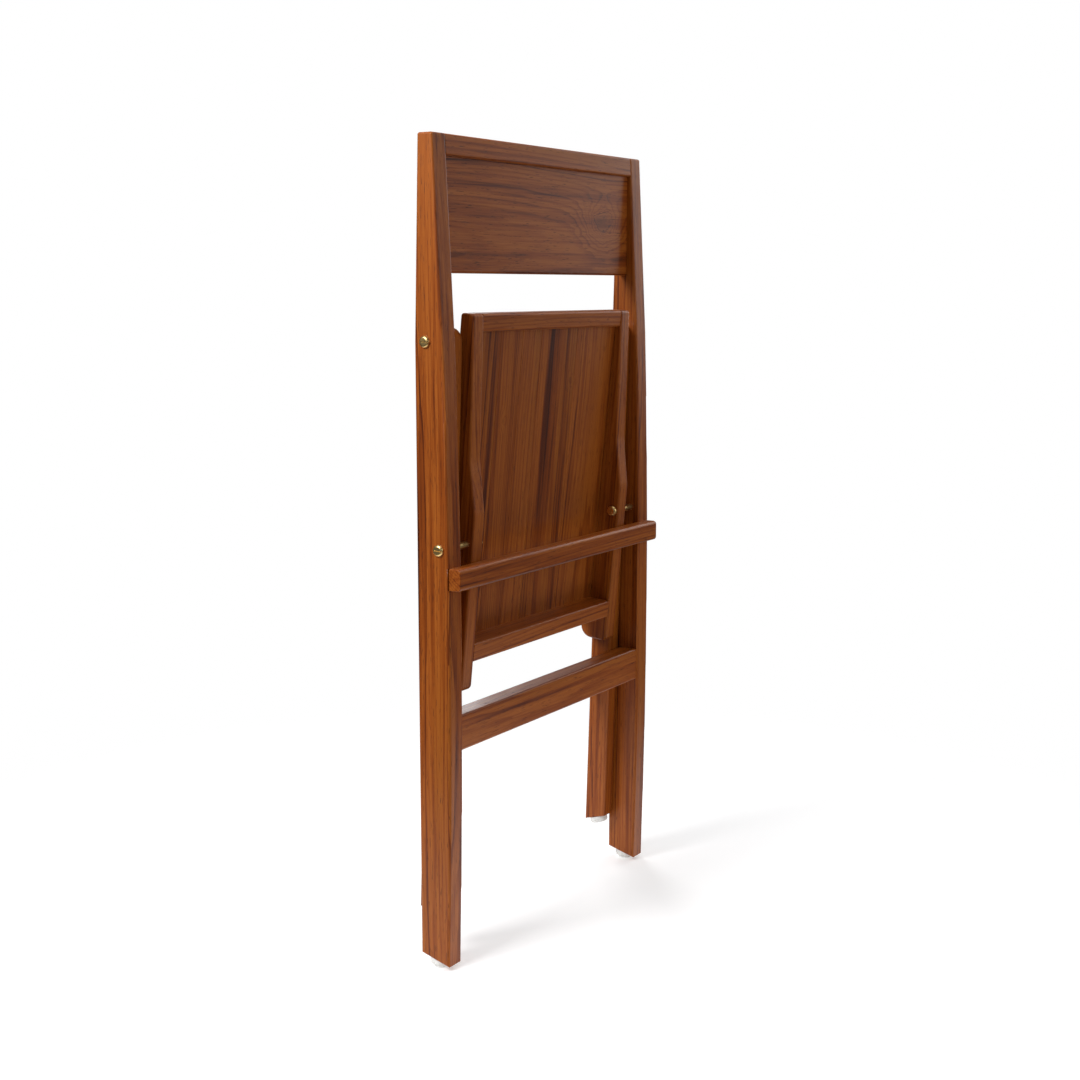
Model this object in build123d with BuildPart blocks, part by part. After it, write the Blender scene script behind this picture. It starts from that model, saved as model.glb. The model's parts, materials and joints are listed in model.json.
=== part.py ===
from build123d import *
import math
import os

# A wooden folding chair, folded flat and standing upright.
# +Z is up and the sitter faces -Y. The sitter's left is +X, so "left" pieces stand at +X.
# The origin is on the floor, under the middle of the folded chair's width and depth.
# Lengths are millimetres and angles are degrees.
#
# The long frame carries the back and the front feet. The rear legs turn on it at an upper pivot
# and the seat turns on it at a middle pivot. A pin on each seat horn runs in a curved groove in
# the rear leg beside it, so the seat and the rear legs open and close together.

# ---- Overall sizes ----------------------------------------------------------------------------
frame_width = 440.0          # over the outer faces of the two stiles
frame_height = 900.0         # stile, from the front corner of its foot to its top
seat_ahead = 248.0           # seat, from its pivot to its front end
seat_behind = 168.0          # seat, from its pivot to the ends of its horns
rear_leg_length = 632.0      # rear leg, from its pivot to the middle of its sole

# ---- Widths across the chair, along X ---------------------------------------------------------
stile_width = 24.5
stile_leg_gap = 2.5
leg_width = 22.0
leg_seat_gap = 2.0
seat_rail_width = 20.0

# ---- Stile section, front to back -------------------------------------------------------------
foot_depth = 37.0
stile_belly = 5.5            # how far the front edge bows out between the foot and the pivot
pivot_depth = 36.0
top_depth = 19.0
top_forward = 6.0            # the rear edge leans this far forward between the pivot and the top
front_foot_cut = 15.5        # angle of the sole to the stile's square end

# ---- Pivots -----------------------------------------------------------------------------------
leg_pivot_up = 686.0
leg_pivot_inset = 14.0       # in front of the stile's rear edge
seat_pivot_up = 466.0
seat_pivot_inset = 29.1      # in front of the stile's rear edge
seat_swing = 107.0           # how far the seat turns from folded to open
leg_ratio = 0.36             # rear leg turn for each degree of seat turn

# ---- Rear legs --------------------------------------------------------------------------------
leg_depth = 28.0
rear_foot_cut = 17.5         # angle of the sole to the leg's square end
folded_gap = 0.5             # folded rear legs stop this far behind the front stretcher
rear_stretcher_down = 436.0  # rear leg pivot to the middle of the rear stretcher
rear_stretcher_depth = 20.0

# ---- Rails and stretchers ---------------------------------------------------------------------
rail_height = 40.0           # both stretchers, and the rear face of the top rail
front_lip_height = 22.5      # front face of the top rail, above the back panel
front_stretcher_up = 242.0   # foot corner to the stretcher's underside
front_stretcher_depth = 25.0
front_stretcher_inset = 2.0
top_rail_inset = 0.5
panel_height = 103.0         # of the back panel's open rear face
panel_thickness = 9.0
panel_tongue = 5.0           # depth of the grooves that hold the back panel
panel_setback = 12.0         # of the panel's rear face, from the line of the stile's rear edge

# ---- Seat stop batten -------------------------------------------------------------------------
batten_height = 24.0
batten_depth = 15.0
batten_round = 4.0
batten_housing = 1.0         # how deep it is let into the stiles
batten_end_inset = 2.0
landing_gap = 0.3            # left between the open seat and the batten

# ---- Seat -------------------------------------------------------------------------------------
seat_tilt = 5.7              # of the folded seat's face, off the upright stile
seat_over = 30.0             # sitting face above the pivot, measured square to it
seat_under = 8.4             # underside below the pivot, measured square to it
bend_ahead = 32.0            # where the side rail's deep part ends
shoulder_ahead = 90.0        # where its slim front part starts
shoulder_under = -3.0        # underside at the shoulder, below the pivot
front_end_under = -13.0      # underside at the front end, below the pivot
bend_round = 40.0
horn_top_round = 15.0
horn_end_round = 7.0
front_end_round = 3.5
seat_front_rail_height = 19.5
seat_rear_rail_height = 21.0
seat_rear_rail_behind = 115.0  # pivot to the rear rail's inner edge
seat_rail_inset = 0.5
board_thickness = 7.0
board_recess = 3.0           # boards below the sitting face of the rails
board_tongue = 5.0
board_widths = (52.0, 44.0, 40.0, 79.0)  # from the sitter's right; the last board fills the rest
board_seam = 0.4             # small bevel along the glued seams

# ---- Guide pins and grooves -------------------------------------------------------------------
guide_pin_radius = 2.5
guide_pin_over = 6.5         # above the seat pivot's level, square to the sitting face
guide_pin_behind = 153.5     # behind the seat pivot, along the sitting face
guide_pin_seated = 12.0      # length held in the seat rail
guide_pin_reach = 8.0        # length inside the groove
groove_play = 0.5
groove_floor_play = 1.0
groove_steps = 10            # stretches of the groove's curve between points on the pin's path

# ---- Bolts, nuts, washers ---------------------------------------------------------------------
bolt_radius = 3.0
barrel_radius = 4.0
running_play = 0.05          # radial, between a barrel nut and the wood that turns on it
side_play = 0.15             # along X, beside a turning piece
head_radius = 6.5
head_height = 3.6
head_round = 3.0
bolt_in_nut = 14.0
nut_spare = 2.0              # bore left past the bolt's end
slot_width = 1.2
slot_depth = 1.2
washer_radius = 8.0

# ---- Dowels, glides, nails --------------------------------------------------------------------
dowel_radius = 4.0
small_dowel_radius = 3.0
dowel_in_post = 15.0
dowel_in_rail = 18.0
dowel_in_seat_rail = 12.0
dowel_end_play = 1.0
dowel_spread = 20.0          # between the two dowels of a joint
seat_dowel_spread = 14.0     # the same, at the seat's rear rail
top_dowel_spread = 9.5       # the same, at the top rail, front to back
batten_dowel_in_stile = 11.0
glide_radius = 11.0
glide_height = 8.0
glide_round = 3.0
nail_radius = 1.25
nail_length = 18.0
nail_head_radius = 3.0
nail_head_height = 1.2
nail_recess = 2.0            # nail head sunk below the glide's face

# ---- Rounded edges ----------------------------------------------------------------------------
arris = 2.5
fine_arris = 1.0

# ==== Derived sizes ============================================================================
outer_x = frame_width / 2
stile_inner_x = outer_x - stile_width
leg_outer_x = stile_inner_x - stile_leg_gap
leg_inner_x = leg_outer_x - leg_width
seat_outer_x = leg_inner_x - leg_seat_gap
seat_inner_x = seat_outer_x - seat_rail_width


def sin(angle):
    return math.sin(math.radians(angle))


def cos(angle):
    return math.cos(math.radians(angle))


def tan(angle):
    return math.tan(math.radians(angle))


# A side profile's points are (back, up): back is measured from the stile's rear face, and is
# negative ahead of it, and up is measured from the front corner of the foot.


def stile_rear(up):
    """The stile's rear edge at a height: straight, then leaning forward above the pivot."""
    above = max(0.0, up - leg_pivot_up)
    return -top_forward * above / (frame_height - leg_pivot_up)


def stile_front(up):
    """The stile's front edge at a height: a shallow bow, then a straight taper to the top."""
    if up > leg_pivot_up:
        share = (up - leg_pivot_up) / (frame_height - leg_pivot_up)
        return -pivot_depth + share * (pivot_depth - top_depth - top_forward)
    share = up / leg_pivot_up
    bow = stile_belly * (1 - (2 * share - 1) ** 2)
    return -foot_depth - share * (pivot_depth - foot_depth) - bow


def turned(point, centre, angle):
    """A side profile's point, turned about a centre: its top goes forward."""
    back, up = point[0] - centre[0], point[1] - centre[1]
    return (
        centre[0] + back * cos(angle) - up * sin(angle),
        centre[1] + back * sin(angle) + up * cos(angle),
    )


leg_pivot = (-leg_pivot_inset, leg_pivot_up)
seat_pivot = (-seat_pivot_inset, seat_pivot_up)

# The front stretcher, and the lean at which the folded rear legs come to rest behind it.
front_stretcher_top = front_stretcher_up + rail_height
front_stretcher_front = stile_front(front_stretcher_up + rail_height / 2) + front_stretcher_inset
front_stretcher_rear = front_stretcher_front + front_stretcher_depth
stop_back = front_stretcher_rear - leg_pivot[0]
stop_up = front_stretcher_top - leg_pivot[1]
stop_reach = leg_depth / 2 + folded_gap
leg_lean = math.degrees(
    math.atan2(stop_up, stop_back) + math.acos(-stop_reach / math.hypot(stop_back, stop_up))
)

# The batten's height follows from where the open seat's underside comes down on its front edge.
landing_tilt = seat_tilt + seat_swing - 90
batten_front = stile_front(seat_pivot_up) + batten_housing - batten_depth
round_back = batten_front + batten_round - seat_pivot[0]
round_down = seat_under + batten_round + landing_gap - round_back * sin(landing_tilt)
batten_top = seat_pivot_up - round_down / cos(landing_tilt) + batten_round
batten_middle = (batten_front + batten_depth / 2, batten_top - batten_height / 2)

# The floor: the lowest point of a front glide, whose face is tilted like the sole.
sole_half = foot_depth / cos(front_foot_cut) / 2
foot_lift = (
    (glide_height - glide_round) * cos(front_foot_cut)
    + (glide_radius - glide_round) * sin(front_foot_cut)
    + glide_round
    - sole_half * sin(front_foot_cut)
)

# The folded chair reaches from the batten's face to the heels of the rear legs.
heel_down = rear_leg_length + leg_depth / 2 * tan(rear_foot_cut)
heel = turned((leg_pivot[0] + leg_depth / 2, leg_pivot[1] - heel_down), leg_pivot, leg_lean)
rear_face_y = -(batten_front + heel[0]) / 2


def side_plane(spot, tilt):
    """A plane at x = 0 whose first axis runs to the rear and whose second axis runs up."""
    return Plane(
        origin=(0, rear_face_y + spot[0], foot_lift + spot[1]),
        x_dir=(0, cos(tilt), sin(tilt)),
        z_dir=(1, 0, 0),
    )


stile_side = side_plane((0, 0), 0)
leg_side = side_plane(leg_pivot, leg_lean)     # first axis square to the leg, second along it
seat_side = side_plane(seat_pivot, seat_tilt)  # first axis square to the seat, second to its front

# The soles are tilted planes: their first axis runs along X, and their normal points down.
front_sole_spot = (-foot_depth / 2, foot_depth / 2 * tan(front_foot_cut))
front_sole_side = side_plane(front_sole_spot, front_foot_cut)
front_sole = Plane(front_sole_side.origin, x_dir=(1, 0, 0), z_dir=-front_sole_side.y_dir)
rear_sole_spot = turned((leg_pivot[0], leg_pivot[1] - rear_leg_length), leg_pivot, leg_lean)
rear_sole_side = side_plane(rear_sole_spot, leg_lean - rear_foot_cut)
rear_sole = Plane(rear_sole_side.origin, x_dir=(1, 0, 0), z_dir=-rear_sole_side.y_dir)
front_foot_x = outer_x - stile_width / 2
rear_foot_x = leg_outer_x - leg_width / 2


# ==== Shapes that repeat =======================================================================
def rods(plane, spots, radius, start, end, mode=Mode.ADD):
    """Round rods along X at each spot of a side plane, or bores when the mode subtracts."""
    with BuildSketch(plane.offset(start)) as ends:
        with Locations(*spots):
            Circle(radius)
    extrude(ends.sketch, amount=end - start, mode=mode)


def block(plane, low, high, start, end, mode=Mode.ADD):
    """A straight bar along X whose section lies between two corners of a side plane."""
    middle = ((low[0] + high[0]) / 2, (low[1] + high[1]) / 2)
    with BuildSketch(plane.offset(start)) as section:
        with Locations(middle):
            Rectangle(high[0] - low[0], high[1] - low[1])
    extrude(section.sketch, amount=end - start, mode=mode)


os.makedirs("parts", exist_ok=True)

# ==== Long frame ===============================================================================
# Where its joints lie on the side profile.
top_rail_low = frame_height - rail_height
front_lip_low = frame_height - front_lip_height
panel_groove_top = front_lip_low + panel_tongue
above_groove = (panel_groove_top + frame_height) / 2
stile_middle_at_rail = (stile_front(above_groove) + stile_rear(above_groove)) / 2
top_rail_spots = [
    (stile_middle_at_rail - top_dowel_spread / 2, above_groove),
    (stile_middle_at_rail + top_dowel_spread / 2, above_groove),
]
front_stretcher_middle = front_stretcher_up + rail_height / 2
front_stretcher_back = front_stretcher_front + front_stretcher_depth / 2
front_stretcher_spots = [
    (front_stretcher_back, front_stretcher_middle - dowel_spread / 2),
    (front_stretcher_back, front_stretcher_middle + dowel_spread / 2),
]
panel_low = (-panel_setback - panel_thickness, top_rail_low - panel_height)
panel_high = (-panel_setback, panel_groove_top)
batten_low = (batten_front, batten_top - batten_height)
batten_high = (batten_front + batten_depth, batten_top)
batten_x = outer_x - batten_end_inset

# A dowel from the batten into each stile runs along Y.
batten_dowel_plane = Plane(
    origin=(0, rear_face_y + batten_middle[0], foot_lift + batten_middle[1]),
    x_dir=(1, 0, 0),
    z_dir=(0, 1, 0),
)
front_foot_spots = [(front_foot_x, 0), (-front_foot_x, 0)]
nail_in_wood = nail_length - glide_height + nail_recess

# ---- The stiles -------------------------------------------------------------------------------
with BuildPart() as left_stile:
    with BuildSketch(stile_side.offset(stile_inner_x)):
        with BuildLine():
            toe = (-foot_depth, 0)
            front_at_pivot = (-pivot_depth, leg_pivot_up)
            belly = (stile_front(leg_pivot_up / 2), leg_pivot_up / 2)
            ThreePointArc(toe, belly, front_at_pivot)
            Polyline(
                front_at_pivot,
                (stile_front(frame_height), frame_height),
                (stile_rear(frame_height), frame_height),
                (0, leg_pivot_up),
                (0, foot_depth * tan(front_foot_cut)),
                toe,
            )
        make_face()
        fillet(vertices().group_by(Axis.Y)[-1], radius=arris)
    extrude(amount=stile_width)
    fillet(left_stile.faces().filter_by(Axis.X).edges(), radius=arris)
    rods(leg_side, [(0, 0)], bolt_radius, stile_inner_x, outer_x, Mode.SUBTRACT)
    rods(seat_side, [(0, 0)], bolt_radius, stile_inner_x, outer_x, Mode.SUBTRACT)
    stile_bore_end = stile_inner_x + dowel_in_post + dowel_end_play
    for spots, radius in ((top_rail_spots, small_dowel_radius), (front_stretcher_spots, dowel_radius)):
        rods(stile_side, spots, radius, stile_inner_x, stile_bore_end, Mode.SUBTRACT)
    groove_end = stile_inner_x + panel_tongue
    block(stile_side, panel_low, panel_high, stile_inner_x, groove_end, Mode.SUBTRACT)
    block(stile_side, batten_low, batten_high, stile_inner_x, outer_x, Mode.SUBTRACT)
    with BuildSketch(batten_dowel_plane):
        with Locations((front_foot_x, 0)):
            Circle(dowel_radius)
    batten_dowel_end = batten_depth / 2 + batten_dowel_in_stile
    extrude(amount=batten_dowel_end + dowel_end_play, mode=Mode.SUBTRACT)
    with BuildSketch(front_sole):
        with Locations((front_foot_x, 0)):
            Circle(nail_radius)
    extrude(amount=-nail_in_wood, mode=Mode.SUBTRACT)
left_stile.part.label = "left_stile"
export_step(left_stile.part, "parts/left_stile.step")

with BuildPart() as right_stile:
    mirror(left_stile.part, about=Plane.YZ)
right_stile.part.label = "right_stile"
export_step(right_stile.part, "parts/right_stile.step")

# ---- Top rail, between the stiles and following their taper -----------------------------------
# Its rear face reaches further down over the panel than its front face does.
with BuildPart() as top_rail:
    with BuildSketch(stile_side.offset(-stile_inner_x)):
        with BuildLine():
            Polyline(
                (stile_front(front_lip_low) + top_rail_inset, front_lip_low),
                (stile_front(frame_height) + top_rail_inset, frame_height),
                (stile_rear(frame_height) - top_rail_inset, frame_height),
                (stile_rear(top_rail_low) - top_rail_inset, top_rail_low),
                (panel_high[0], top_rail_low),
                panel_high,
                (panel_low[0], panel_groove_top),
                (panel_low[0], front_lip_low),
                close=True,
            )
        make_face()
        corners = vertices().sort_by(Axis.X)
        fillet(corners[0:2] + corners[6:8], radius=arris)
    extrude(amount=2 * stile_inner_x)
    rail_bore = dowel_in_rail + dowel_end_play
    for end, into in ((stile_inner_x, -rail_bore), (-stile_inner_x, rail_bore)):
        rods(stile_side, top_rail_spots, small_dowel_radius, end, end + into, Mode.SUBTRACT)
top_rail.part.label = "top_rail"
export_step(top_rail.part, "parts/top_rail.step")

# ---- Back panel, in grooves on three sides ----------------------------------------------------
with BuildPart() as back_panel:
    block(stile_side, panel_low, panel_high, -groove_end, groove_end)
    fillet(back_panel.edges().filter_by(Axis.X).group_by(Axis.Z)[0], radius=arris)
back_panel.part.label = "back_panel"
export_step(back_panel.part, "parts/back_panel.step")

# ---- Front stretcher --------------------------------------------------------------------------
with BuildPart() as front_stretcher:
    low = (front_stretcher_front, front_stretcher_up)
    high = (front_stretcher_rear, front_stretcher_top)
    block(stile_side, low, high, -stile_inner_x, stile_inner_x)
    fillet(front_stretcher.edges().filter_by(Axis.X), radius=arris)
    for end, into in ((stile_inner_x, -rail_bore), (-stile_inner_x, rail_bore)):
        rods(stile_side, front_stretcher_spots, dowel_radius, end, end + into, Mode.SUBTRACT)
front_stretcher.part.label = "front_stretcher"
export_step(front_stretcher.part, "parts/front_stretcher.step")

# ---- Seat stop batten, across the front of the stiles -----------------------------------------
with BuildPart() as seat_stop_batten:
    block(stile_side, batten_low, batten_high, -batten_x, batten_x)
    face_edges = seat_stop_batten.faces().sort_by(Axis.Y)[0].edges()
    fillet(face_edges.filter_by(Axis.X), radius=batten_round)
    end_faces = seat_stop_batten.faces().filter_by(Axis.X)
    fillet(end_faces.edges(), radius=fine_arris)
    with BuildSketch(batten_dowel_plane):
        with Locations(*front_foot_spots):
            Circle(dowel_radius)
    extrude(amount=batten_depth / 2, mode=Mode.SUBTRACT)
    with BuildSketch(batten_dowel_plane):
        with Locations(*front_foot_spots):
            Circle(dowel_radius)
    extrude(amount=-dowel_end_play, mode=Mode.SUBTRACT)
seat_stop_batten.part.label = "seat_stop_batten"
export_step(seat_stop_batten.part, "parts/seat_stop_batten.step")

with BuildPart() as batten_dowels:
    with BuildSketch(batten_dowel_plane):
        with Locations(*front_foot_spots):
            Circle(dowel_radius)
    extrude(amount=batten_dowel_end)
batten_dowels.part.label = "batten_dowels"
export_step(batten_dowels.part, "parts/batten_dowels.step")

# ==== Rear legs ================================================================================
pin_folded = turned(
    (seat_pivot[0] + guide_pin_over, seat_pivot[1] - guide_pin_behind), seat_pivot, seat_tilt
)


def groove_point(seat_turn):
    """Where the guide pin stands on the rear leg's side plane when the seat has turned so far."""
    pin = turned(pin_folded, seat_pivot, seat_turn)
    pin = turned(pin, leg_pivot, -leg_ratio * seat_turn - leg_lean)
    return (pin[0] - leg_pivot[0], pin[1] - leg_pivot[1])


groove_points = [groove_point(seat_swing * step / groove_steps) for step in range(groove_steps + 1)]
groove_radius = guide_pin_radius + groove_play
rear_stretcher_spots = [
    (0, -rear_stretcher_down - dowel_spread / 2),
    (0, -rear_stretcher_down + dowel_spread / 2),
]
sole_slant = leg_depth / 2 * tan(rear_foot_cut)

with BuildPart() as left_rear_leg:
    with BuildSketch(leg_side.offset(leg_inner_x)):
        with BuildLine():
            ThreePointArc((leg_depth / 2, 0), (0, leg_depth / 2), (-leg_depth / 2, 0))
            Polyline(
                (-leg_depth / 2, 0),
                (-leg_depth / 2, -rear_leg_length + sole_slant),
                (leg_depth / 2, -rear_leg_length - sole_slant),
                (leg_depth / 2, 0),
            )
        make_face()
    extrude(amount=leg_width)
    fillet(left_rear_leg.faces().filter_by(Axis.X).edges(), radius=arris)
    barrel_bore = barrel_radius + running_play
    rods(leg_side, [(0, 0)], barrel_bore, leg_inner_x, leg_outer_x, Mode.SUBTRACT)
    with BuildSketch(leg_side.offset(leg_inner_x)):
        with BuildLine():
            Spline(*groove_points)
        trace(line_width=2 * groove_radius)
        with Locations(groove_points[0], groove_points[-1]):
            Circle(groove_radius)
    extrude(amount=guide_pin_reach + groove_floor_play, mode=Mode.SUBTRACT)
    leg_bore_end = leg_inner_x + dowel_in_post + dowel_end_play
    rods(leg_side, rear_stretcher_spots, dowel_radius, leg_inner_x, leg_bore_end, Mode.SUBTRACT)
    with BuildSketch(rear_sole):
        with Locations((rear_foot_x, 0)):
            Circle(nail_radius)
    extrude(amount=-nail_in_wood, mode=Mode.SUBTRACT)
left_rear_leg.part.label = "left_rear_leg"
export_step(left_rear_leg.part, "parts/left_rear_leg.step")

with BuildPart() as right_rear_leg:
    mirror(left_rear_leg.part, about=Plane.YZ)
right_rear_leg.part.label = "right_rear_leg"
export_step(right_rear_leg.part, "parts/right_rear_leg.step")

with BuildPart() as rear_stretcher:
    low = (-rear_stretcher_depth / 2, -rear_stretcher_down - rail_height / 2)
    high = (rear_stretcher_depth / 2, -rear_stretcher_down + rail_height / 2)
    block(leg_side, low, high, -leg_inner_x, leg_inner_x)
    fillet(rear_stretcher.edges().filter_by(Axis.X), radius=arris)
    for end, into in ((leg_inner_x, -rail_bore), (-leg_inner_x, rail_bore)):
        rods(leg_side, rear_stretcher_spots, dowel_radius, end, end + into, Mode.SUBTRACT)
rear_stretcher.part.label = "rear_stretcher"
export_step(rear_stretcher.part, "parts/rear_stretcher.step")

# ==== Seat =====================================================================================
seat_front_rail_low = seat_ahead - seat_front_rail_height
seat_rear_rail_low = -seat_rear_rail_behind - seat_rear_rail_height
board_top = seat_over - board_recess
board_low = (board_top - board_thickness, -seat_rear_rail_behind - board_tongue)
board_high = (board_top, seat_front_rail_low + board_tongue)
board_edge_x = seat_inner_x + board_tongue
front_rail_underside = -front_end_under + seat_rail_inset
seat_front_spots = [
    ((front_rail_underside + seat_over) / 2, seat_ahead - seat_front_rail_height / 2)
]
seat_rear_over = (board_low[0] - seat_under) / 2
seat_rear_ahead = seat_rear_rail_low + seat_rear_rail_height / 2
seat_rear_spots = [
    (seat_rear_over - seat_dowel_spread / 2, seat_rear_ahead),
    (seat_rear_over + seat_dowel_spread / 2, seat_rear_ahead),
]

# ---- Side rails: deep beside the pivot, slim towards the front, with a rounded horn behind ----
with BuildPart() as left_seat_rail:
    with BuildSketch(seat_side.offset(seat_inner_x)):
        with BuildLine():
            Polyline(
                (-seat_under, -seat_behind),
                (-seat_under, bend_ahead),
                (-shoulder_under, shoulder_ahead),
                (-front_end_under, seat_ahead),
                (seat_over, seat_ahead),
                (seat_over, -seat_behind),
                close=True,
            )
        make_face()
        fillet(vertices().sort_by(Axis.Y)[4:6], radius=front_end_round)
        fillet(vertices().sort_by(Axis.Y)[2:4], radius=bend_round)
        fillet(vertices().sort_by(Axis.Y)[0:2].sort_by(Axis.X)[1], radius=horn_top_round)
        fillet(vertices().sort_by(Axis.Y)[0:2].sort_by(Axis.X)[0], radius=horn_end_round)
    extrude(amount=seat_rail_width)
    fillet(left_seat_rail.faces().filter_by(Axis.X).edges(), radius=arris)
    rods(seat_side, [(0, 0)], barrel_bore, seat_inner_x, seat_outer_x, Mode.SUBTRACT)
    block(seat_side, board_low, board_high, seat_inner_x, board_edge_x, Mode.SUBTRACT)
    seat_bore_end = seat_inner_x + dowel_in_seat_rail + dowel_end_play
    rods(seat_side, seat_rear_spots, dowel_radius, seat_inner_x, seat_bore_end, Mode.SUBTRACT)
    rods(seat_side, seat_front_spots, small_dowel_radius, seat_inner_x, seat_bore_end, Mode.SUBTRACT)
    pin_spot = [(guide_pin_over, -guide_pin_behind)]
    pin_start = seat_outer_x - guide_pin_seated
    rods(seat_side, pin_spot, guide_pin_radius, pin_start, seat_outer_x, Mode.SUBTRACT)
left_seat_rail.part.label = "left_seat_rail"
export_step(left_seat_rail.part, "parts/left_seat_rail.step")

with BuildPart() as right_seat_rail:
    mirror(left_seat_rail.part, about=Plane.YZ)
right_seat_rail.part.label = "right_seat_rail"
export_step(right_seat_rail.part, "parts/right_seat_rail.step")

# ---- Front and rear rails of the seat ---------------------------------------------------------
seat_face = seat_over - seat_rail_inset
cross_rails = (
    ("seat_front_rail", (front_rail_underside, seat_front_rail_low), (seat_face, seat_ahead),
     seat_front_spots, small_dowel_radius),
    ("seat_rear_rail", (seat_rail_inset - seat_under, seat_rear_rail_low),
     (seat_face, -seat_rear_rail_behind), seat_rear_spots, dowel_radius),
)
for name, low, high, spots, radius in cross_rails:
    with BuildPart() as cross_rail:
        block(seat_side, low, high, -seat_inner_x, seat_inner_x)
        fillet(cross_rail.edges().filter_by(Axis.X), radius=arris)
        block(seat_side, board_low, board_high, -seat_inner_x, seat_inner_x, Mode.SUBTRACT)
        for end, into in ((seat_inner_x, -rail_bore), (-seat_inner_x, rail_bore)):
            rods(seat_side, spots, radius, end, end + into, Mode.SUBTRACT)
    cross_rail.part.label = name
    export_step(cross_rail.part, f"parts/{name}.step")

# ---- Seat boards, glued edge to edge, in grooves all round ------------------------------------
last_board = 2 * board_edge_x - sum(board_widths)
board_x = -board_edge_x
lengthwise = Axis(seat_side.origin, seat_side.y_dir)
for number, width in enumerate(board_widths + (last_board,), start=1):
    name = f"seat_board_{number}"
    with BuildPart() as board:
        block(seat_side, board_low, board_high, board_x, board_x + width)
        side_edges = board.faces().filter_by(Axis.X).edges()
        chamfer(side_edges.filter_by(lengthwise), length=board_seam)
    board.part.label = name
    export_step(board.part, f"parts/{name}.step")
    board_x += width

# ==== Hardware =================================================================================
# ---- Pivot bolts and barrel nuts: the barrel is the bearing, clamped against the stile --------
pivots = (("rear_leg", leg_side, leg_inner_x), ("seat", seat_side, seat_inner_x))
for name, plane, inner_x in pivots:
    with BuildPart() as bolts:
        with BuildSketch(plane.offset(outer_x)):
            Circle(head_radius)
        extrude(amount=head_height)
        fillet(bolts.edges().sort_by(Axis.X)[-1], radius=head_round)
        with BuildSketch(plane.offset(outer_x + head_height)):
            Rectangle(2 * head_radius, slot_width)
        extrude(amount=-slot_depth, mode=Mode.SUBTRACT)
        rods(plane, [(0, 0)], bolt_radius, outer_x, stile_inner_x - bolt_in_nut)
        mirror(about=Plane.YZ)
    bolts.part.label = f"{name}_bolts"
    export_step(bolts.part, f"parts/{name}_bolts.step")

    nut_face = inner_x - side_play
    with BuildPart() as nuts:
        with BuildSketch(plane.offset(nut_face)):
            Circle(head_radius)
        extrude(amount=-head_height)
        fillet(nuts.edges().sort_by(Axis.X)[0], radius=head_round)
        with BuildSketch(plane.offset(nut_face - head_height)):
            Rectangle(slot_width, 2 * head_radius)
        extrude(amount=slot_depth, mode=Mode.SUBTRACT)
        rods(plane, [(0, 0)], barrel_radius, nut_face, stile_inner_x)
        nut_bore_end = stile_inner_x - bolt_in_nut - nut_spare
        rods(plane, [(0, 0)], bolt_radius, nut_bore_end, stile_inner_x, Mode.SUBTRACT)
        mirror(about=Plane.YZ)
    nuts.part.label = f"{name}_barrel_nuts"
    export_step(nuts.part, f"parts/{name}_barrel_nuts.step")

with BuildPart() as leg_washers:
    rods(leg_side, [(0, 0)], washer_radius, leg_outer_x + side_play, stile_inner_x)
    rods(leg_side, [(0, 0)], barrel_bore, leg_outer_x, stile_inner_x, Mode.SUBTRACT)
    mirror(about=Plane.YZ)
leg_washers.part.label = "rear_leg_washers"
export_step(leg_washers.part, "parts/rear_leg_washers.step")

# ---- Guide pins, in the horns of the seat -----------------------------------------------------
with BuildPart() as guide_pins:
    rods(seat_side, pin_spot, guide_pin_radius, pin_start, leg_inner_x + guide_pin_reach)
    mirror(about=Plane.YZ)
guide_pins.part.label = "guide_pins"
export_step(guide_pins.part, "parts/guide_pins.step")

# ---- Dowels across the joints of rails and posts ----------------------------------------------
dowel_sets = (
    ("top_rail_dowels", stile_side, top_rail_spots, small_dowel_radius, stile_inner_x,
     dowel_in_post),
    ("front_stretcher_dowels", stile_side, front_stretcher_spots, dowel_radius, stile_inner_x,
     dowel_in_post),
    ("rear_stretcher_dowels", leg_side, rear_stretcher_spots, dowel_radius, leg_inner_x,
     dowel_in_post),
    ("seat_front_dowels", seat_side, seat_front_spots, small_dowel_radius, seat_inner_x,
     dowel_in_seat_rail),
    ("seat_rear_dowels", seat_side, seat_rear_spots, dowel_radius, seat_inner_x,
     dowel_in_seat_rail),
)
for name, plane, spots, radius, joint_x, in_post in dowel_sets:
    with BuildPart() as dowels:
        rods(plane, spots, radius, joint_x - dowel_in_rail, joint_x + in_post)
        mirror(about=Plane.YZ)
    dowels.part.label = name
    export_step(dowels.part, f"parts/{name}.step")

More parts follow.
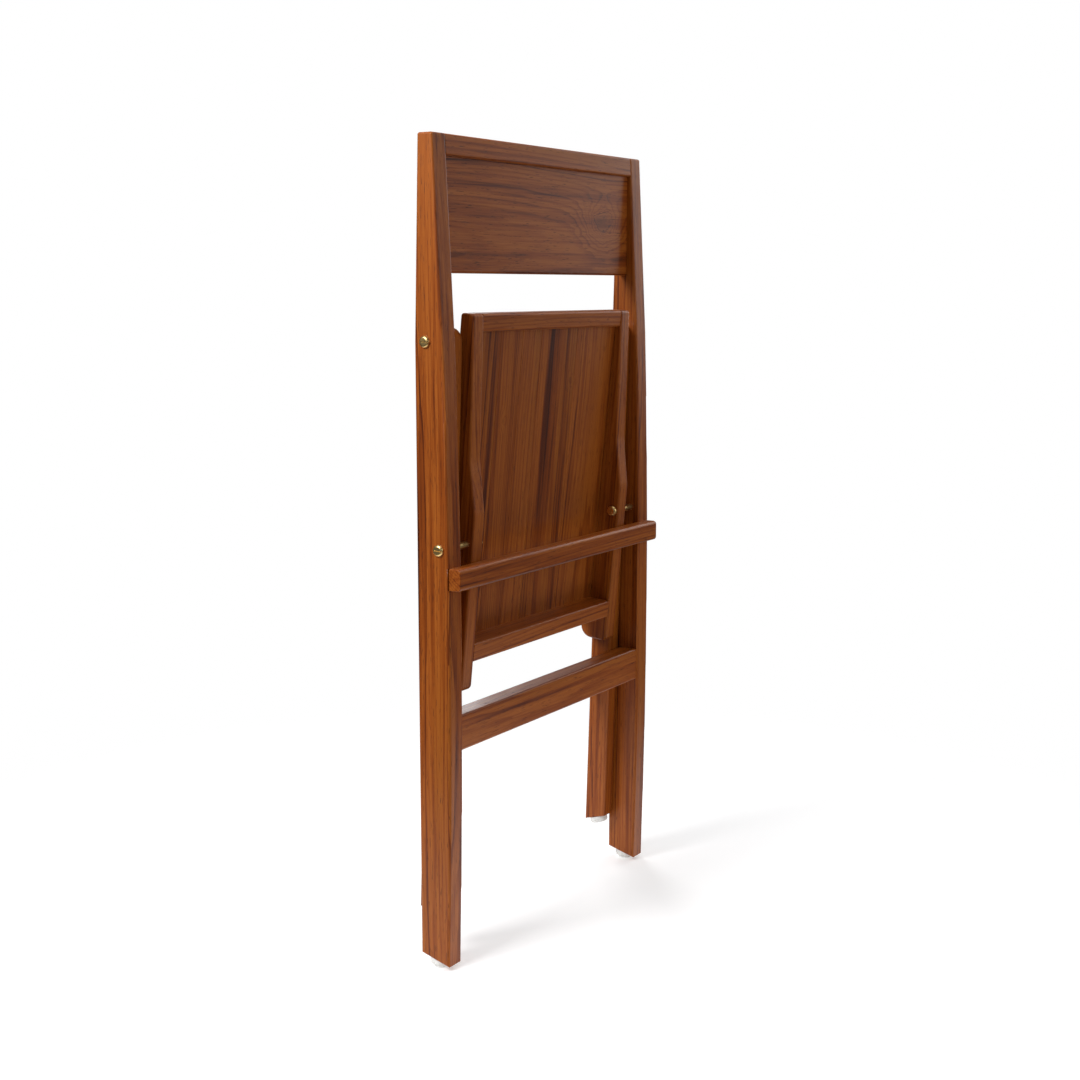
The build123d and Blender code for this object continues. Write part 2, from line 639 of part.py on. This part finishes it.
# ---- Glides and their nails, under each pair of feet ------------------------------------------
head_top = glide_height - nail_recess
for name, sole, foot_x in (("front", front_sole, front_foot_x), ("rear", rear_sole, rear_foot_x)):
    sole_axis = Axis(sole.origin, sole.z_dir)
    spots = [(foot_x, 0), (-foot_x, 0)]
    with BuildPart() as glides:
        with BuildSketch(sole):
            with Locations(*spots):
                Circle(glide_radius)
        extrude(amount=glide_height)
        fillet(glides.edges().group_by(sole_axis)[-1], radius=glide_round)
        with BuildSketch(sole.offset(glide_height)):
            with Locations(*spots):
                Circle(nail_head_radius)
        extrude(amount=-nail_recess - nail_head_height, mode=Mode.SUBTRACT)
        with BuildSketch(sole):
            with Locations(*spots):
                Circle(nail_radius)
        extrude(amount=glide_height, mode=Mode.SUBTRACT)
    glides.part.label = f"{name}_glides"
    export_step(glides.part, f"parts/{name}_glides.step")

    with BuildPart() as nails:
        with BuildSketch(sole.offset(head_top)):
            with Locations(*spots):
                Circle(nail_head_radius)
        extrude(amount=-nail_head_height)
        with BuildSketch(sole.offset(head_top)):
            with Locations(*spots):
                Circle(nail_radius)
        extrude(amount=-nail_length)
    nails.part.label = f"{name}_glide_nails"
    export_step(nails.part, f"parts/{name}_glide_nails.step")
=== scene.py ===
# %% [markdown]
# # A folding chair in lacquered teak
#
# The chair arrives as an exact model of its joinery: every stile, rail, board, bolt and glide is
# a separate object that already has its size and place. This lesson gives those pieces their
# finish, glues the seat boards, and sets up a small studio to look at them.
#
# The first lines load the model. Each piece's object stands at the origin, unturned, and its
# place is in its mesh, so a pattern on Object coordinates is a pattern in metres on the chair.

# %% Load the chair
import json
import math

import bpy
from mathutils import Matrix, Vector


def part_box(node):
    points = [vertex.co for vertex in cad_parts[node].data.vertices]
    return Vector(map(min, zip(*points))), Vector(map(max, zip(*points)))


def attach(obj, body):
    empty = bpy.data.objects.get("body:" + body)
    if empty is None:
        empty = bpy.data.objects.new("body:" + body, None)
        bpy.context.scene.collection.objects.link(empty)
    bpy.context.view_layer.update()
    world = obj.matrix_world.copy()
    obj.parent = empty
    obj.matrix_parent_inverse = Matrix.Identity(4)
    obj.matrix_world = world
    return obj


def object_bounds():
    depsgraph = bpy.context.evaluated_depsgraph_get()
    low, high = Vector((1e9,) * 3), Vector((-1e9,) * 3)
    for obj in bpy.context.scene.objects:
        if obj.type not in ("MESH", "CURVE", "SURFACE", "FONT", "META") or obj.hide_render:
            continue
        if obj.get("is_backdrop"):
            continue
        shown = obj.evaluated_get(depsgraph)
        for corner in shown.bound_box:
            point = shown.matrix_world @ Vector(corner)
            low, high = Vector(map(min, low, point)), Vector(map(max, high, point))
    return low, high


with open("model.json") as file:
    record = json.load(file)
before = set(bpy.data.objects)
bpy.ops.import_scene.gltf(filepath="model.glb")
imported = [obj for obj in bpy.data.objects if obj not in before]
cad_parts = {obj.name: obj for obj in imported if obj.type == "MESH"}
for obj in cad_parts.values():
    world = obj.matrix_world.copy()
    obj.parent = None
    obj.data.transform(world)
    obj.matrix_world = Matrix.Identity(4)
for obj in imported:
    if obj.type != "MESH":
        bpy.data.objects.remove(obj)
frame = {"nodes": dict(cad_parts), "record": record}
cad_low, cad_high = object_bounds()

chair_middle = (cad_low + cad_high) / 2
chair_height = cad_high.z - cad_low.z
print("the folded chair is", [round(side, 3) for side in cad_high - cad_low], "metres")

# %% [markdown]
# ## The camera
#
# The camera stands in front of the chair, well round to the sitter's right, and well above the
# middle of its height. From there both the broad side of the near stile and the front of the chair
# are in view. Its place is given as a direction, a distance across the floor and a height above
# it, as a tripod would be set up. It looks at the chair's middle.

# %% The camera
camera_round = math.radians(57.6)      # from straight in front towards the sitter's right
camera_distance = 1.89                 # metres, measured across the floor
camera_height = 0.746
lens_mm = 54.0
nearest_seen = 0.05

camera_data = bpy.data.cameras.new("camera")
camera_data.lens = lens_mm
camera_data.clip_start = nearest_seen
camera = bpy.data.objects.new("camera", camera_data)
bpy.context.scene.collection.objects.link(camera)
bpy.context.scene.camera = camera
camera.location = (
    -camera_distance * math.sin(camera_round),
    -camera_distance * math.cos(camera_round),
    camera_height,
)
to_chair = chair_middle - camera.location
camera.rotation_euler = to_chair.to_track_quat("-Z", "Y").to_euler()
print("the camera is", round(to_chair.length, 3), "metres away")

# %% [markdown]
# ## Writing shader maths as expressions
#
# A node tree is a formula drawn as boxes. Written in Python, it is easier to read as a formula,
# so `Flow` wraps a socket and turns `+`, `-`, `*` and `/` into Math nodes. It is for single
# numbers only: colours go through Mix nodes and vectors through Vector Math nodes, because a
# Math node would turn them grey. `Tree` is any node tree, and its `add` method makes any node.
# `Finish` is the tree of one material.

# %% A socket that takes arithmetic
class Flow:
    """What comes out of a socket. Arithmetic is for single numbers."""

    def __init__(self, tree, socket):
        self.tree = tree
        self.socket = socket

    def maths(self, operation, *others):
        """One Math node on this number and others."""
        inputs = dict(enumerate((self,) + others))
        return self.tree.add("ShaderNodeMath", inputs, operation=operation)

    def __add__(self, other):
        return self.maths("ADD", other)

    __radd__ = __add__

    def __mul__(self, other):
        return self.maths("MULTIPLY", other)

    __rmul__ = __mul__

    def __sub__(self, other):
        return self.maths("SUBTRACT", other)

    def __rsub__(self, other):
        inputs = {0: other, 1: self}
        return self.tree.add("ShaderNodeMath", inputs, operation="SUBTRACT")

    def __truediv__(self, other):
        return self.maths("DIVIDE", other)

    def between(self, low, high):
        """0 below low, 1 above high, and a smooth step from one to the other."""
        inputs = {"Value": self, "From Min": low, "From Max": high}
        return self.tree.add("ShaderNodeMapRange", inputs, interpolation_type="SMOOTHSTEP")


# %% A node tree, and a material built from nodes
class Tree:
    """A node tree that is written down line by line."""

    def __init__(self, tree):
        self.tree = tree

    def add(self, kind, inputs=None, out=0, stops=None, **settings):
        """A node of any type: its settings are set first, then its sockets' values or links."""
        node = self.tree.nodes.new(kind)
        for setting, value in settings.items():
            setattr(node, setting, value)
        if stops:
            while len(node.color_ramp.elements) < len(stops):
                node.color_ramp.elements.new(1.0)
            for element, (place, colour) in zip(node.color_ramp.elements, stops):
                element.position = place
                element.color = (*colour, 1.0)
        for name, value in (inputs or {}).items():
            if isinstance(value, Flow):
                self.tree.links.new(value.socket, node.inputs[name])
            else:
                node.inputs[name].default_value = value
        return None if out is None else Flow(self, node.outputs[out])


class Finish(Tree):
    """One material's node tree."""

    def __init__(self, name):
        self.material = bpy.data.materials.new(name)
        self.material.use_nodes = True
        self.material.node_tree.nodes.clear()
        super().__init__(self.material.node_tree)

    def noise(self, place, stretch, detail=2.0, out="Fac"):
        """Noise whose spots are stretched: a larger number along an axis means a finer pattern."""
        spread = self.add("ShaderNodeVectorMath", {0: place, 1: stretch}, operation="MULTIPLY")
        inputs = {"Vector": spread, "Scale": 1.0, "Detail": detail}
        return self.add("ShaderNodeTexNoise", inputs, out=out)

    def parts(self, vector):
        """A vector's three numbers."""
        split = self.add("ShaderNodeSeparateXYZ", {"Vector": vector})
        return [Flow(self, socket) for socket in split.socket.node.outputs]

    def blend(self, share, first, second):
        """Two colours mixed by a share."""
        node_inputs = {"Factor": share, "A": first, "B": second}
        node = self.tree.nodes.new("ShaderNodeMix")
        node.data_type = "RGBA"
        sockets = {socket.name: socket for socket in node.inputs if socket.enabled}
        for name, value in node_inputs.items():
            if isinstance(value, Flow):
                self.tree.links.new(value.socket, sockets[name])
            elif name == "Factor":
                sockets[name].default_value = value
            else:
                sockets[name].default_value = (*value, 1.0)
        result = next(socket for socket in node.outputs if socket.enabled)
        return Flow(self, result)

    def surface(self, **sockets):
        """The Principled shader that ends the tree. Names use _ for spaces."""
        inputs = {name.replace("_", " "): value for name, value in sockets.items()}
        shader = self.add("ShaderNodeBsdfPrincipled", inputs, out="BSDF")
        self.add("ShaderNodeOutputMaterial", {"Surface": shader}, out=None)
        return self.material


# %% [markdown]
# ## The wood
#
# A board is a slice through a trunk. The trunk's yearly rings are thin sleeves around its heart,
# so a good pattern for wood is the distance from a line beside the board, cut into rings. Where
# the line wanders, the slice shows arches and long tapering streaks, on the ends of a piece it
# shows arcs, and the rings run on round every corner, as they do in a solid piece.
#
# Three things are laid over the rings: broad dark streaks, fine fibres, and pores, which are
# short dark dashes. A knot is a hill added to the ring count, so the rings flow round it.
#
# Each piece has its own grain direction, its own heart line and its own place in the noise, so no
# two pieces look cut from the same inch of wood.

# %% The wood's colours
wood_light = (0.37, 0.100, 0.013)
wood_middle = (0.245, 0.052, 0.0048)
wood_dark = (0.105, 0.0185, 0.0025)
wood_streak = (0.028, 0.0045, 0.0015)
wood_golden = (0.30, 0.088, 0.008)
pore_brown = (0.03, 0.006, 0.002)

# %% The grain's directions, as turns from upright
leg_lean = math.radians(1.94)
seat_lean = math.radians(5.7)
UPRIGHT = (0.0, 0.0, 0.0)
ACROSS = (0.0, math.pi / 2, 0.0)
ALONG_LEG = (leg_lean, 0.0, 0.0)
ALONG_SEAT = (seat_lean, 0.0, 0.0)

# %% How fine each pattern is: waves in a metre, twice across the grain and once along it
stray_waves = (7.0, 7.0, 1.5)
swirl_waves = (60.0, 60.0, 45.0)
ripple_waves = (150.0, 150.0, 7.0)
broad_waves = (42.0, 42.0, 1.3)
narrow_waves = (125.0, 125.0, 2.6)
fine_waves = (420.0, 420.0, 9.0)
fibre_waves = (1500.0, 1500.0, 30.0)
pore_waves = (1100.0, 1100.0, 70.0)
golden_waves = (25.0, 25.0, 2.2)

# %% The lacquer
lacquer_coat = 0.12
lacquer_roughness = 0.12
wood_roughness = 0.33
wood_specular = 0.22


# %% The wood itself
def middle_of(node):
    """The middle of a piece's box."""
    low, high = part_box(node)
    return (low + high) / 2


def wood(name, middle, grain, heart, seed, ring=0.0042, tone=0.0, streaks=0.5, wander=0.016,
         taper=3.0, knots=()):
    """A lacquered wood whose grain runs along a piece.

    heart is where the trunk's middle lies, across the grain, from the piece's middle. ring is the
    width of a yearly ring, wander is how far the rings stray from straight, and taper is how many
    rings run out along a metre. A knot is its place across and along the piece, the two radii of
    the wood it disturbs, and how many rings it lifts. Lengths are metres.
    """
    finish = Finish(name)
    place = finish.add("ShaderNodeTexCoord", out="Object")
    own = finish.add("ShaderNodeMapping", {"Vector": place, "Location": middle, "Rotation": grain},
                     vector_type="TEXTURE")
    seeded = (seed * 1.37, seed * 0.71, seed * 2.13)
    shifted = finish.add("ShaderNodeVectorMath", {0: own, 1: seeded}, operation="ADD")
    across, deep, along = finish.parts(own)

    slow = finish.noise(shifted, stray_waves, detail=1.0, out="Color")
    stray = finish.parts(slow)
    across_ring = across - heart[0] + (stray[0] - 0.5) * (2 * wander)
    deep_ring = deep - heart[1] + (stray[1] - 0.5) * (2 * wander)
    flat = finish.add("ShaderNodeCombineXYZ", {"X": across_ring, "Y": deep_ring})
    radius = finish.add("ShaderNodeVectorMath", {0: flat}, out="Value", operation="LENGTH")
    count = radius / ring + along * taper

    core = None
    for knot_across, knot_along, wide, long, lift in knots:
        beside = (across - knot_across) / wide
        ahead = (along - knot_along) / long
        swirl = finish.noise(shifted, swirl_waves) - 0.5
        square = beside * beside + ahead * ahead + swirl * 1.1
        hill = (square.maths("MAXIMUM", 0.0) * -1.0).maths("EXPONENT")
        count = count + hill * lift
        peak = hill.between(0.72, 0.97)
        core = peak if core is None else core.maths("MAXIMUM", peak)

    ripple = finish.noise(shifted, ripple_waves)
    count = count + (ripple - 0.5) * 0.9 + seed
    share = count.maths("FRACT")
    number = count.maths("FLOOR")
    year = finish.add("ShaderNodeTexWhiteNoise", {"W": number}, out="Value", noise_dimensions="1D")
    late = share.between(0.4, 0.93) - share.between(0.93, 1.0)
    rings = late * (year * year * 0.95 + 0.12)

    broad = finish.noise(shifted, broad_waves, detail=3.0).between(0.5, 0.75)
    narrow = finish.noise(shifted, narrow_waves, detail=3.0).between(0.46, 0.72)
    fine = finish.noise(shifted, fine_waves).between(0.3, 0.75)
    fibre = finish.noise(shifted, fibre_waves)
    pores = finish.noise(shifted, pore_waves, detail=1.0).between(0.64, 0.72)

    bands = (broad * 0.5 + narrow * 0.6) * streaks
    depth = rings * 0.58 + bands + fine * 0.2 + (fibre - 0.5) * 0.45 + (tone - 0.03)
    colour = finish.add("ShaderNodeValToRGB", {"Fac": depth}, out="Color", stops=(
        (0.0, wood_light), (0.3, wood_middle), (0.65, wood_dark), (1.0, wood_streak)))
    golden = finish.noise(shifted, golden_waves, detail=1.0).between(0.5, 0.7)
    golden = golden * (1.0 - depth.between(0.1, 0.5)) * 0.55
    colour = finish.blend(golden, colour, wood_golden)
    colour = finish.blend(pores * 0.6, colour, pore_brown)
    if core is not None:
        colour = finish.blend(core * 0.3, colour, pore_brown)

    relief = finish.add("ShaderNodeBump", {"Height": fibre - pores * 1.2, "Strength": 0.12,
                                           "Distance": 0.0004}, out="Normal")
    gloss = fibre * 0.10 + pores * 0.12 + wood_roughness
    return finish.surface(Base_Color=colour, Roughness=gloss, Normal=relief,
                          Specular_IOR_Level=wood_specular, Coat_Weight=lacquer_coat,
                          Coat_Roughness=lacquer_roughness)


def dress(node, material):
    """Puts a finish on a piece of the chair."""
    mesh = frame["nodes"][node].data
    mesh.materials.clear()
    mesh.materials.append(material)


# %% [markdown]
# ## Each timber's own wood
#
# The stiles, legs and seat sides were sawn with the grain along them, the rails with the grain
# across the chair, and the seat boards with the grain from front to rear. A heart far behind a
# face gives it arches, and a heart far to one side gives it straight stripes.

# %% The frame's timbers
timbers = (
    # node, grain, heart (m), seed, and what sets it apart
    ("right_stile", UPRIGHT, (0.035, 0.085), 1.3, dict(ring=0.0045, streaks=0.62, taper=2.0)),
    ("left_stile", UPRIGHT, (-0.04, 0.07), 2.9, dict(ring=0.0042, streaks=0.55, taper=-2.5)),
    ("right_rear_leg", ALONG_LEG, (-0.05, 0.06), 4.1, dict(streaks=0.45)),
    ("left_rear_leg", ALONG_LEG, (0.06, 0.05), 5.7, dict(streaks=0.45)),
    ("right_seat_rail", ALONG_SEAT, (0.05, 0.05), 6.2, dict(streaks=0.5)),
    ("left_seat_rail", ALONG_SEAT, (-0.06, 0.04), 7.4, dict(streaks=0.5)),
    ("top_rail", ACROSS, (0.03, 0.05), 8.8, dict(ring=0.003, streaks=0.35)),
    ("front_stretcher", ACROSS, (0.02, 0.06), 9.5, dict(ring=0.0035, streaks=0.5)),
    ("rear_stretcher", ACROSS, (0.025, -0.05), 10.6, dict(ring=0.003, streaks=0.45)),
    ("seat_stop_batten", ACROSS, (0.05, 0.03), 11.9, dict(ring=0.003, streaks=0.45)),
    ("seat_front_rail", ACROSS, (0.04, 0.04), 12.3, dict(ring=0.003, streaks=0.4)),
    ("seat_rear_rail", ACROSS, (-0.04, 0.04), 13.8, dict(ring=0.003, streaks=0.4)),
)
for node, grain, heart, seed, apart in timbers:
    dress(node, wood("wood_" + node, middle_of(node), grain, heart, seed, **apart))
print("dressed", len(timbers), "timbers of the frame")

# %% [markdown]
# The panel of the back is one wide board with a swirl where a branch grew, and its grain runs
# across the chair and bends away from the swirl. The five seat boards differ as boards from
# different planks do: three have no knot, and each of these has its own tone, and two have a
# small knot and the middle tone.

# %% The back panel and the seat boards
panel_low, panel_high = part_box("back_panel")
swirl_share = 0.34                     # of the panel's width, from its middle
panel_swirl = (0.0, swirl_share * (panel_high.x - panel_low.x), 0.025, 0.040, 8.5)
dress("back_panel", wood("wood_back_panel", middle_of("back_panel"), ACROSS, (0.035, 0.06), 14.4,
                         ring=0.0046, streaks=0.5, wander=0.024, knots=(panel_swirl,)))

knot_wide, knot_long, knot_lift = 0.0055, 0.009, 3.0
boards = (
    # node, heart (m), seed, the knot's place as shares of the board, and what sets it apart
    ("seat_board_1", (0.05, 0.05), 15.2, None, dict(ring=0.0032, streaks=0.75, tone=0.05)),
    ("seat_board_2", (-0.03, 0.035), 16.9, (-0.1, 0.2), dict(ring=0.003, streaks=0.45)),
    ("seat_board_3", (0.04, 0.05), 17.3, None, dict(ring=0.004, tone=-0.03, streaks=0.35)),
    ("seat_board_4", (-0.005, 0.028), 18.1, (0.38, 0.31), dict(ring=0.0034, streaks=0.85)),
    ("seat_board_5", (0.012, 0.05), 19.6, None, dict(ring=0.0042, tone=-0.05, streaks=0.45)),
)
for node, heart, seed, knot, apart in boards:
    low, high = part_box(node)
    if knot:
        knot_place = (knot[0] * (high.x - low.x), knot[1] * (high.z - low.z))
        apart["knots"] = ((*knot_place, knot_wide, knot_long, knot_lift),)
    dress(node, wood("wood_" + node, middle_of(node), ALONG_SEAT, heart, seed, **apart))
print("dressed the back panel and", len(boards), "seat boards")

# %% [markdown]
# ## Brass, steel, nylon and bare dowels
#
# The bolts and barrel nuts are brass that was polished once and has dulled: its colour stays the
# same metal, but a thin tarnish gathers in patches, which makes it browner and rougher there. The
# pins and nails are plain steel, the glides under the feet are white nylon with a faint grain
# from the mould, and the dowels inside the joints are pale bare beech.

# %% The small parts' finishes
def metal(name, bright, dull, smooth, rough):
    """A metal with patches of tarnish and fine scratches."""
    finish = Finish(name)
    place = finish.add("ShaderNodeTexCoord", out="Object")
    patches = finish.noise(place, (170.0, 170.0, 170.0), detail=2.0).between(0.42, 0.7)
    scratches = finish.noise(place, (900.0, 3000.0, 700.0), detail=2.0)
    colour = finish.blend(patches, bright, dull)
    relief = finish.add("ShaderNodeBump", {"Height": scratches, "Strength": 0.06,
                                           "Distance": 0.00004}, out="Normal")
    gloss = patches * (rough - smooth) + scratches * 0.08 + smooth
    return finish.surface(Base_Color=colour, Roughness=gloss, Metallic=1.0, Normal=relief)


def nylon():
    """White nylon, a little yellowed, with the mould's grain and scuffs."""
    finish = Finish("white_nylon")
    place = finish.add("ShaderNodeTexCoord", out="Object")
    scuffs = finish.noise(place, (180.0, 180.0, 180.0), detail=3.0).between(0.45, 0.7)
    grain = finish.noise(place, (2600.0, 2600.0, 2600.0), detail=1.0)
    colour = finish.blend(scuffs, (0.83, 0.83, 0.81), (0.66, 0.65, 0.61))
    relief = finish.add("ShaderNodeBump", {"Height": grain, "Strength": 0.2,
                                           "Distance": 0.0001}, out="Normal")
    return finish.surface(Base_Color=colour, Roughness=scuffs * 0.15 + 0.4, Normal=relief,
                          Subsurface_Weight=0.1, Subsurface_Radius=(0.003, 0.003, 0.003))


def bare_wood():
    """Pale dowel wood, ribbed along so that the glue can spread."""
    finish = Finish("bare_dowel_wood")
    place = finish.add("ShaderNodeTexCoord", out="Object")
    fibre = finish.noise(place, (60.0, 900.0, 900.0), detail=3.0)
    colour = finish.blend(fibre.between(0.3, 0.75), (0.62, 0.43, 0.24), (0.42, 0.26, 0.12))
    relief = finish.add("ShaderNodeBump", {"Height": fibre, "Strength": 0.3,
                                           "Distance": 0.0003}, out="Normal")
    return finish.surface(Base_Color=colour, Roughness=fibre * 0.2 + 0.55, Normal=relief)


small_finishes = {
    "bolt_brass": metal("dulled_brass", (0.83, 0.58, 0.24), (0.52, 0.33, 0.12), 0.24, 0.38),
    "pin_steel": metal("bright_steel", (0.6, 0.6, 0.6), (0.36, 0.35, 0.34), 0.22, 0.4),
    "glide_nylon": nylon(),
    "dowel_wood": bare_wood(),
}
small_parts = [part for part in frame["record"]["subparts"]
               if part["material_slot"] in small_finishes]
for part in small_parts:
    dress(part["node"], small_finishes[part["material_slot"]])
print("dressed", len(small_parts), "nodes of small parts")

# %% [markdown]
# ## Glue and painted shade between the seat boards
#
# The boards are glued edge to edge, and their edges were eased first, so each seam is a fine
# groove. At its bottom lies a dark line that is partly glue and partly painted shade, the shade
# that falls into the groove. The line is the same at every seam, so it is a job for Geometry
# Nodes: one point for each seam goes in, and a slim bar stands at each point.
# Its sizes are inputs with names, so a thicker line is one number. The result is made into a
# plain mesh, because other programs don't read Geometry Nodes.

# %% The finish of the glue and the painted shade
def dried_glue():
    """Glue, dark amber and darkened further to paint the shade in the groove, mottled along the
    seam.
    """
    finish = Finish("dried_glue")
    place = finish.add("ShaderNodeTexCoord", out="Object")
    mottle = finish.noise(place, (300.0, 300.0, 60.0), detail=2.0)
    # The dark amber is partly the glue's own colour and partly painted shade in the groove it lies
    # in.
    colour = finish.blend(mottle, (0.06, 0.018, 0.006), (0.02, 0.006, 0.003))
    return finish.surface(Base_Color=colour, Roughness=mottle * 0.3 + 0.35)


# %% The tree that stands a bar of glue and painted shade at each seam
glue = Tree(bpy.data.node_groups.new("glue_and_shade_lines", "GeometryNodeTree"))
glue.tree.is_modifier = True
glue_inputs = (("Seams", "Geometry"), ("Bar size", "Vector"), ("Lean", "Float"),
               ("Finish", "Material"))
for name, kind in glue_inputs:
    glue.tree.interface.new_socket(name, in_out="INPUT", socket_type="NodeSocket" + kind)
glue.tree.interface.new_socket("Glue", in_out="OUTPUT", socket_type="NodeSocketGeometry")
given = glue.tree.nodes.new("NodeGroupInput").outputs
bar = glue.add("GeometryNodeMeshCube", {"Size": Flow(glue, given["Bar size"])}, out="Mesh")
turn = glue.add("ShaderNodeCombineXYZ", {"X": Flow(glue, given["Lean"])})
placed = glue.add("GeometryNodeInstanceOnPoints", {
    "Points": Flow(glue, given["Seams"]), "Instance": bar, "Rotation": turn}, out="Instances")
solid = glue.add("GeometryNodeRealizeInstances", {"Geometry": placed})
finished = glue.add("GeometryNodeSetMaterial", {
    "Geometry": solid, "Material": Flow(glue, given["Finish"])})
glue.add("NodeGroupOutput", {"Glue": finished}, out=None)

# %% The seams' places, and the glue and painted shade as a mesh
seam_boards = [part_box("seat_board_%d" % number) for number in (2, 3, 4, 5)]
board_rise = seam_boards[0][1] - seam_boards[0][0]
lean_cos, lean_sin = math.cos(seat_lean), math.sin(seat_lean)
board_length = (board_rise.z * lean_cos - board_rise.y * lean_sin) / math.cos(2 * seat_lean)
board_thick = (board_rise.y * lean_cos - board_rise.z * lean_sin) / math.cos(2 * seat_lean)
glue_width = 0.0003
glue_below = 0.00025                   # how far the glue stays under the boards' faces
glue_ends = 0.0005                     # and how far it stops short of their ends

seams = bpy.data.meshes.new("seams")
seam_middles = [(low.x, (low.y + high.y) / 2, (low.z + high.z) / 2) for low, high in seam_boards]
seams.from_pydata(seam_middles, [], [])
maker = bpy.data.objects.new("glue_maker", seams)
bpy.context.scene.collection.objects.link(maker)
nodes_modifier = maker.modifiers.new("glue", "NODES")
nodes_modifier.node_group = glue.tree
bar_size = (glue_width, board_thick - 2 * glue_below, board_length - 2 * glue_ends)
for name, value in (("Bar size", bar_size), ("Lean", seat_lean), ("Finish", dried_glue())):
    nodes_modifier[glue.tree.interface.items_tree[name].identifier] = value
depsgraph = bpy.context.evaluated_depsgraph_get()
glue_mesh = bpy.data.meshes.new_from_object(maker.evaluated_get(depsgraph))
bpy.data.objects.remove(maker)
seat_glue = bpy.data.objects.new("seat_glue_and_shade_lines", glue_mesh)
bpy.context.scene.collection.objects.link(seat_glue)
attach(seat_glue, "seat")
print("glue:", len(glue_mesh.polygons), "faces in", len(seam_boards), "seams of",
      round(board_length * 1000), "mm")

# %% [markdown]
# ## The floor
#
# The floor is a wide pale disc. Its rim fades out into the white surroundings, so no edge shows
# behind the chair. The fade mixes the floor's shader with a transparent one by the distance from
# the middle. The floor also glows a little, so it looks pale without a strong light from above,
# which would light up the chair's ledges too.

# %% The floor
floor_reach = 1.1
floor_corners = 96
floor_glow = 0.3
floor_white = (0.86, 0.86, 0.865, 1.0)
glow_white = (1.0, 1.0, 1.0, 1.0)
fade_from, fade_to = 0.4, 1.0
floor_mesh = bpy.data.meshes.new("floor")
rim_angles = [math.tau * corner / floor_corners for corner in range(floor_corners)]
rim = [(floor_reach * math.cos(angle), floor_reach * math.sin(angle), 0.0) for angle in rim_angles]
floor_mesh.from_pydata(rim, [], [range(floor_corners)])
floor = bpy.data.objects.new("floor", floor_mesh)
bpy.context.scene.collection.objects.link(floor)
floor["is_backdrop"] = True

pale = Finish("pale_floor")
spot = pale.add("ShaderNodeTexCoord", out="Object")
away = pale.add("ShaderNodeVectorMath", {0: spot}, out="Value", operation="LENGTH")
matt = pale.add("ShaderNodeBsdfPrincipled", {
    "Base Color": floor_white, "Roughness": 0.7, "Specular IOR Level": 0.2,
    "Emission Color": glow_white, "Emission Strength": floor_glow}, out="BSDF")
clear = pale.add("ShaderNodeBsdfTransparent", out="BSDF")
fading = pale.add("ShaderNodeMixShader", {0: away.between(fade_from, fade_to), 1: matt, 2: clear})
pale.add("ShaderNodeOutputMaterial", {"Surface": fading}, out=None)
floor_mesh.materials.append(pale.material)
print("the floor reaches", floor_reach, "metres")

# %% [markdown]
# ## The studio
#
# The surroundings are plain white to look at, but give only a little light, so the chair keeps
# dark and light sides. Soft lights do the rest. The key stands on the near side and lights the
# broad side of the stile, a narrow one draws a bright line along its rounded edge, others light
# the back and the far side, a weak one opens the shade in front, and one hangs above for the
# floor.

# %% The surroundings
white_light = 0.09
world = bpy.data.worlds.new("studio")
world.use_nodes = True
world.node_tree.nodes.clear()
sky = Tree(world.node_tree)
seen = sky.add("ShaderNodeBackground", {"Color": glow_white, "Strength": 1.0})
lighting = sky.add("ShaderNodeBackground", {"Color": glow_white, "Strength": white_light})
direct = sky.add("ShaderNodeLightPath", out="Is Camera Ray")
both = sky.add("ShaderNodeMixShader", {0: direct, 1: lighting, 2: seen})
sky.add("ShaderNodeOutputWorld", {"Surface": both}, out=None)
bpy.context.scene.world = world
bpy.context.scene.view_settings.view_transform = "Standard"


# %% The lights
def soft_light(name, place, width, height, watts):
    """A rectangle of light that faces the chair."""
    lamp = bpy.data.lights.new(name, "AREA")
    lamp.shape = "RECTANGLE"
    lamp.size, lamp.size_y = width, height
    lamp.energy = watts
    lamp_object = bpy.data.objects.new(name, lamp)
    bpy.context.scene.collection.objects.link(lamp_object)
    lamp_object.location = place
    facing = Vector((0.0, 0.0, chair_height / 2)) - lamp_object.location
    lamp_object.rotation_euler = facing.to_track_quat("-Z", "Y").to_euler()


soft_light("key_light", (-1.55, 0.38, 1.65), 0.8, 0.9, 35.0)
soft_light("edge_light", (-1.55, -1.2, 1.2), 0.15, 1.4, 1.6)
soft_light("rear_light", (1.8, 2.0, 1.5), 1.2, 1.4, 27.0)
soft_light("right_light", (2.5, -0.5, 1.3), 1.4, 1.6, 16.0)
soft_light("front_light", (0.7, -2.6, 1.3), 1.6, 1.6, 14.0)
soft_light("top_light", (0.2, -0.1, 2.9), 2.8, 2.8, 32.0)
print("the studio has", len(bpy.data.lights), "lights")

# %% [markdown]
# ## The last sizes
#
# The finished chair has to fill the same box as the model it was built on, so both boxes are
# written down.

# %% Sizes, and the end
low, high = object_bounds()
print("the finished chair is", [round(side, 3) for side in high - low], "metres")
